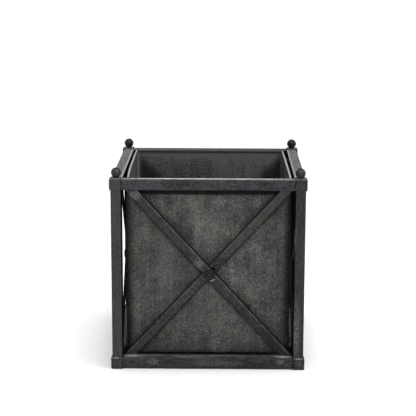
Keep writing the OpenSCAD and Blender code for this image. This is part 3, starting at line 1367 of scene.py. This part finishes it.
@dataclass
class SteelFrame:
    """Posts, rails, blocks, finials, braces and cross tubes, and their welds.

    Args:
        bead: half the thickness of a weld bead, which has a ripple for each ripple's length.
        bar_stock: the length of a brace before it is cut.
        bar_edge: the width of its softened edges, which have bar_rounds faces across.
        window_x: the distance of the posts' inner faces from the middle.
        window_z: the heights of the rails' faces towards each other.
    """

    paint: Paint
    bead: float = 1.7 * MM
    ripple: float = 3.2 * MM
    bar_stock: float = 700 * MM
    bar_thick: float = 4 * MM
    bar_edge: float = 0.6 * MM
    bar_rounds: int = 3
    window_x: float = RAIL_INSIDE
    window_z: Span = (LOW_RAIL_TOP, RAIL_UNDER)

    def dress(self, nodes: dict[str, bpy.types.Object]) -> None:
        """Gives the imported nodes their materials.

        Args:
            nodes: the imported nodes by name.
        """
        for name, node in nodes.items():
            looks = [look for kind, look in KINDS.items() if name.startswith(kind)]
            material = self.paint[looks[0] if looks else Look.TUBE]
            for slot in node.material_slots:
                slot.material = material
            log.info("dressed %s", name)

    def build_brace(self, side: Side, brace: Brace) -> None:
        """Makes one flat bar with softened edges, cut flat at the rails and posts.

        Args:
            side: which side of the planter.
            brace: which of its two bars.
        """
        mesh = Mesh()
        size = Matrix.Diagonal((self.bar_stock, self.bar_thick, brace.width, 1))
        bmesh.ops.create_cube(mesh.bm, size=1, matrix=size)
        bmesh.ops.bevel(
            mesh.bm,
            geom=mesh.bm.edges[:],
            offset=self.bar_edge,
            segments=self.bar_rounds,
            profile=0.5,
            affect="EDGES",
            material=-1,
        )
        place = Matrix.Translation((brace.shift, -brace.depth, HALF_HEIGHT))
        tilt = Matrix.Rotation(brace.lean * brace.slope, 4, "Y")
        bmesh.ops.transform(mesh.bm, verts=mesh.bm.verts, matrix=place @ tilt)
        planes = [((0, 0, z), (0, 0, math.copysign(1, z - HALF_HEIGHT))) for z in self.window_z]
        planes += [((x * self.window_x, 0, 0), (x, 0, 0)) for x in (-1, 1)]
        for point, normal in planes:
            mesh.cut(point, normal)
            mesh.close()
        mesh.piece(
            f"{brace.kind}_bar_{side.label}",
            Body.FRAME,
            self.paint[Look.OUTER_BAR if brace is OUTER else Look.INNER_BAR],
            side.turn,
            [f"{brace.kind}_{side.label}"],
        )

    def build_welds(self, side: Side) -> None:
        """Lays the beads where a side's braces meet the rails.

        Args:
            side: which side of the planter.
        """
        mesh = Mesh()
        seed = side.value * 5
        for brace in (OUTER, INNER):
            y = -brace.depth - brace.lean * self.bar_thick / 2
            for z in self.window_z:
                middle = brace.level(z - HALF_HEIGHT)
                left = max(middle - brace.half, -self.window_x)
                right = min(middle + brace.half, self.window_x)
                seed += 1
                mesh.bead(Vector((left, y, z)), Vector((right, y, z)), self.bead, self.ripple, seed)
        material = self.paint[Look.TUBE]
        mesh.piece("weld_beads_" + side.label, Body.FRAME, material, side.turn)

    def build(self) -> None:
        """Makes the braces and welds of all four sides."""
        for side in Side:
            self.build_brace(side, OUTER)
            self.build_brace(side, INNER)
            self.build_welds(side)


# --------------------------------------------------------------------- the liner


@dataclass
class Liner:
    """The loose liner: bent walls, rolled rim, soldered corners.

    Args:
        half: the distance of a wall's outer face from the middle.
        wall_top: the height where the sheet goes into the roll.
        bend: the outer radius of the corners' bends.
        left_lean: how far the left wall's rim is pushed right at its middle, then the
            parts that grow with the distance back and with that distance squared.
        right_lean: the same for the right wall.
        lean_power: how closely the push keeps to the rim.
        buckle: how deep the walls' dents are.
        waves: two crossed waves of the dents: how deep, how close along the wall and how
            far its side shifts them, then the same up the wall.
        settle: how far the rim rises and falls.
        seam_foot: how far above the walls' lower edge the solder starts.
        seam_drop: how far below the roll it ends.
        solder: half the thickness of a solder seam.
    """

    paint: Paint
    half: float = LINER_HALF
    sheet: float = 0.9 * MM
    bottom: float = 31.3 * MM
    wall_top: float = 438.9 * MM
    roll_z: float = RIM_HEIGHT
    roll: float = 2.5 * MM
    wire: float = 3 * MM
    flap: float = LINER_FLAP
    bend: float = 2.5 * MM
    bend_faces: int = 5
    left_lean: Point = (-0.1 * MM, -2.1 * MM, 2.9 * MM)
    right_lean: Point = (-1.6 * MM, -1.45 * MM, -0.7 * MM)
    lean_power: int = 7
    buckle: float = 0.5 * MM
    waves: tuple[tuple[float, ...], ...] = ((1.0, 2.6, 1, 3.0, 2), (0.5, 5.2, 3, 6.4, 1))
    settle: float = 0.25 * MM
    columns: int = 48
    rows: int = 30
    rim_steps: int = 80
    roll_sides: int = 18
    wire_sides: int = 12
    seam_foot: float = 18 * MM
    seam_drop: float = 4 * MM
    solder: float = 0.9 * MM
    ripple: float = 7 * MM

    def rise(self, height: float) -> float:
        """A height as a share of the wall's, from 0 at the bottom to 1 at the rim."""
        return min(1.0, max(0.0, (height - self.bottom) / (self.roll_z - self.bottom)))

    def lean(self, place: Vector) -> float:
        """How far the rim has been pushed to the right at a place.

        Args:
            place: a point of the straight liner.

        Returns:
            The shift along X, which is largest at the rim and gone lower down.
        """
        depth = place.y / self.half
        across = min(1.0, max(0.0, (place.x / self.half + 1) / 2))
        left, right = (
            sum(part * depth**power for power, part in enumerate(parts))
            for parts in (self.left_lean, self.right_lean)
        )
        return (left + (right - left) * across) * self.rise(place.z) ** self.lean_power

    def warp(self, side: Side) -> Callable[[Vector], Vector]:
        """How a wall is out of true.

        Args:
            side: which wall.

        Returns:
            A rule that takes a point of the straight wall, on the front side, to
            where it lies on the real one.
        """
        turn = side.value * 1.7
        back = side.turn.inverted()

        def moved(point: Vector) -> Vector:
            """Moves one point.

            Args:
                point: where it lies on the straight wall.

            Returns:
                Where it lies on the real one.
            """
            along = point.x / self.half
            ends = max(0.0, 1 - along**4)
            rise = self.rise(point.z)
            wave = sum(
                deep * math.sin(wide * along + turn * beside) * math.sin(tall * rise + turn * up)
                for deep, wide, beside, tall, up in self.waves
            )
            out = self.buckle * wave * ends * min(1.0, rise * 6)
            settle = self.settle * math.sin(4 * along + turn) * rise**3 * ends
            push = back @ Vector((self.lean(side.turn @ point), 0, 0))
            return point + Vector((0, -out, settle)) + push

        return moved

    def corner(self, end: int, reach: float, y: float) -> list[tuple[float, float]]:
        """Plan of a folded corner, from the flap's tip round the bend.

        Args:
            end: 1 for the wall's right end, -1 for its left one.
            reach: the distance of the flap from the wall's middle.
            y: where the wall lies.

        Returns:
            Points of the sheet's middle surface.
        """
        radius = self.bend - self.sheet / 2
        points = [(end * reach, y + self.flap - self.sheet / 2)]
        for index in range(self.bend_faces + 1):
            angle = math.pi / 2 * index / self.bend_faces
            x = reach - radius + radius * math.cos(angle)
            points.append((end * x, y + radius - radius * math.sin(angle)))
        return points

    def wall(self, mesh: Mesh, side: Side) -> None:
        """Adds a wall's sheet, flaps included.

        Args:
            mesh: the mesh that it is added to.
            side: which wall.
        """
        y = -self.half + self.sheet / 2
        left, right = [(-self.half, y)], [(self.half, y)]
        if side in (Side.LEFT, Side.RIGHT):
            reach = self.half - self.sheet * 1.5
            left, right = self.corner(-1, reach, y), self.corner(1, reach, y)[::-1]
        start, span = left[-1][0], right[0][0] - left[-1][0]
        middle = [(start + span * k / self.columns, y) for k in range(1, self.columns)]
        verts = [mesh.bm.verts.new((*point, self.bottom)) for point in left + middle + right]
        for pair in zip(verts, verts[1:]):
            mesh.bm.edges.new(pair)
        mesh.sweep(verts, [Vector((0, 0, (self.wall_top - self.bottom) / self.rows))] * self.rows)
        bmesh.ops.solidify(mesh.bm, geom=mesh.bm.faces[:], thickness=self.sheet)

    def tube(self, radius: float, sides: int) -> Mesh:
        """Makes a straight rod on the rim's line, mitred and closed at both ends.

        Args:
            radius: the rod's radius.
            sides: its number of sides.

        Returns:
            The rod, on the front side.
        """
        mesh = Mesh()
        reach = self.half + 2 * self.roll
        place = Matrix.Translation((-reach, -self.half + self.sheet / 2, self.roll_z))
        ring = mesh.ring(sides, radius, place @ Matrix.Rotation(math.pi / 2, 4, "Y"))
        mesh.sweep(ring, [Vector((2 * reach / self.rim_steps, 0, 0))] * self.rim_steps)
        for end in (-1, 1):
            mesh.cut((end * self.half, -self.half, 0), (end, 1, 0))
        mesh.close()
        return mesh

    def hoop(self) -> None:
        """Builds the wire inside the rolled rim, one rod for each side."""
        mesh = Mesh()
        for side in Side:
            rod = self.tube(self.wire / 2, self.wire_sides)
            rod.shaped(self.warp(side))
            bmesh.ops.transform(rod.bm, verts=rod.bm.verts, matrix=side.turn)
            mesh.join(rod)
        material = self.paint[Look.WIRE]
        mesh.piece("rim_wire_hoop", Body.LINER, material, replaces=["rim_wire"])

    def seams(self) -> None:
        """Runs solder down the edges of the corner flaps, inside."""
        mesh = Mesh()
        across = self.half - self.flap
        depth = self.half - 2 * self.sheet
        for x in (-across, across):
            for y in (-depth, depth):
                foot = Vector((x, y, self.bottom + self.seam_foot))
                top = Vector((x, y, self.wall_top - self.seam_drop))
                mesh.bead(foot, top, self.solder, self.ripple, x + 3 * y)
        mesh.shaped(lambda point: point + Vector((self.lean(point), 0, 0)))
        mesh.piece("solder_seams", Body.LINER, self.paint[Look.SHEET])

    def build(self) -> None:
        """Builds the four walls, the wire and the solder."""
        for side in Side:
            mesh = Mesh()
            self.wall(mesh, side)
            mesh.join(self.tube(self.roll, self.roll_sides))
            mesh.shaped(self.warp(side))
            mesh.piece(
                "liner_wall_" + side.label,
                Body.LINER,
                self.paint[Look.SHEET],
                side.turn,
                ["liner_panel_" + side.label],
            )
        self.hoop()
        self.seams()


# --------------------------------------------------------------------- the studio


@dataclass(frozen=True)
class Softbox:
    """One area light.

    Args:
        name: its name.
        place: where it stands.
        aim: where it points.
        size: its side.
        watts: its power.
    """

    name: str
    place: Point
    aim: Point
    size: float
    watts: float

    def build(self) -> None:
        """Makes the light."""
        data = bpy.data.lights.new(self.name, "AREA")
        data.shape = "SQUARE"
        data.size = self.size
        data.energy = self.watts
        made = placed(self.name, data)
        made.location = self.place
        ray = Vector(self.aim) - Vector(self.place)
        made.rotation_euler = ray.to_track_quat("-Z", "Y").to_euler()
        log.info("lit %s", self.name)


@dataclass
class Studio:
    """Floor, light and the camera at the photograph's place.

    Args:
        zenith: how bright the room is straight overhead.
        focus: how closely that light keeps to straight overhead.
        horizon: how bright it is all round.
        backdrop: how bright it is where it is seen.
        picture: the side of the photograph, in pixels.
        sensor: the side of the camera's sensor, in millimetres.
        focal_pixels: the camera's focal length, in pixels.
    """

    floor_side: float = 60.0
    zenith: float = 27.0
    focus: float = 32
    horizon: float = 0.06
    backdrop: float = 1.05
    picture: int = 416
    sensor: float = 36
    focal_pixels: float = 1313.6812
    eye: Point = (0.0335456, -3.1096941, 0.9950544)
    yaw: float = 0.0117
    pitch: float = -0.2095
    roll: float = 0.0028
    softboxes: tuple[Softbox, ...] = (
        Softbox("key_softbox", (1.3, -0.8, 2.2), (0, 0, 0.25), 1.2, 26),
        Softbox("front_softbox", (0.0, -3.5, 1.3), (0, 0, 0.25), 1.5, 24),
    )

    def build(self) -> None:
        """Builds floor, world, lights and camera."""
        self.floor()
        self.world()
        for softbox in self.softboxes:
            softbox.build()
        self.camera()
        bpy.context.scene.view_settings.view_transform = "Standard"

    def floor(self) -> None:
        """Lays the floor."""
        mesh = Mesh()
        bmesh.ops.create_grid(mesh.bm, x_segments=1, y_segments=1, size=self.floor_side / 2)
        data = mesh.finished("studio_floor")
        made = placed("studio_floor", data)
        data.materials.append(StudioFloor("studio_floor", grain=0.0).material())
        log.info("laid studio_floor")

    def world(self) -> None:
        """Makes the room: bright overhead, dim all round, white where it is seen."""
        made = bpy.data.worlds.new("white_room")
        bpy.context.scene.world = made
        made.use_nodes = True
        nodes = Nodes(made.node_tree)
        direction = nodes.add("TexCoord", output="Generated")
        overhead = nodes.axis(direction, "Z").at_least(0.0) ** self.focus
        seen = nodes.add("LightPath", output="Is Camera Ray")
        unseen = (overhead * self.zenith + self.horizon) * (1 - seen)
        strength = unseen + seen * self.backdrop
        shader = nodes.add("Background", inputs={"Color": (1, 1, 1, 1), "Strength": strength})
        nodes.node("OutputWorld", inputs={"Surface": shader})

    def camera(self) -> None:
        """Places the camera as fitted to the photograph's edges."""
        data = bpy.data.cameras.new("camera")
        data.sensor_width = self.sensor
        data.lens = self.focal_pixels * self.sensor / self.picture
        made = placed("camera", data)
        made.matrix_world = (
            Matrix.Translation(self.eye)
            @ Matrix.Rotation(self.yaw, 4, "Z")
            @ Matrix.Rotation(math.pi / 2 + self.pitch, 4, "X")
            @ Matrix.Rotation(self.roll, 4, "Z")
        )
        bpy.context.scene.camera = made
        log.info("placed camera")


def main() -> None:
    """Builds the planter's looks in order."""
    logging.basicConfig(level=logging.INFO, format="%(name)s: %(message)s")
    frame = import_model()
    paint = {look: look.value.material() for look in Look}
    steel = SteelFrame(paint)
    steel.dress(frame["nodes"])
    steel.build()
    Liner(paint).build()
    Studio().build()


if __name__ == "__main__":
    main()
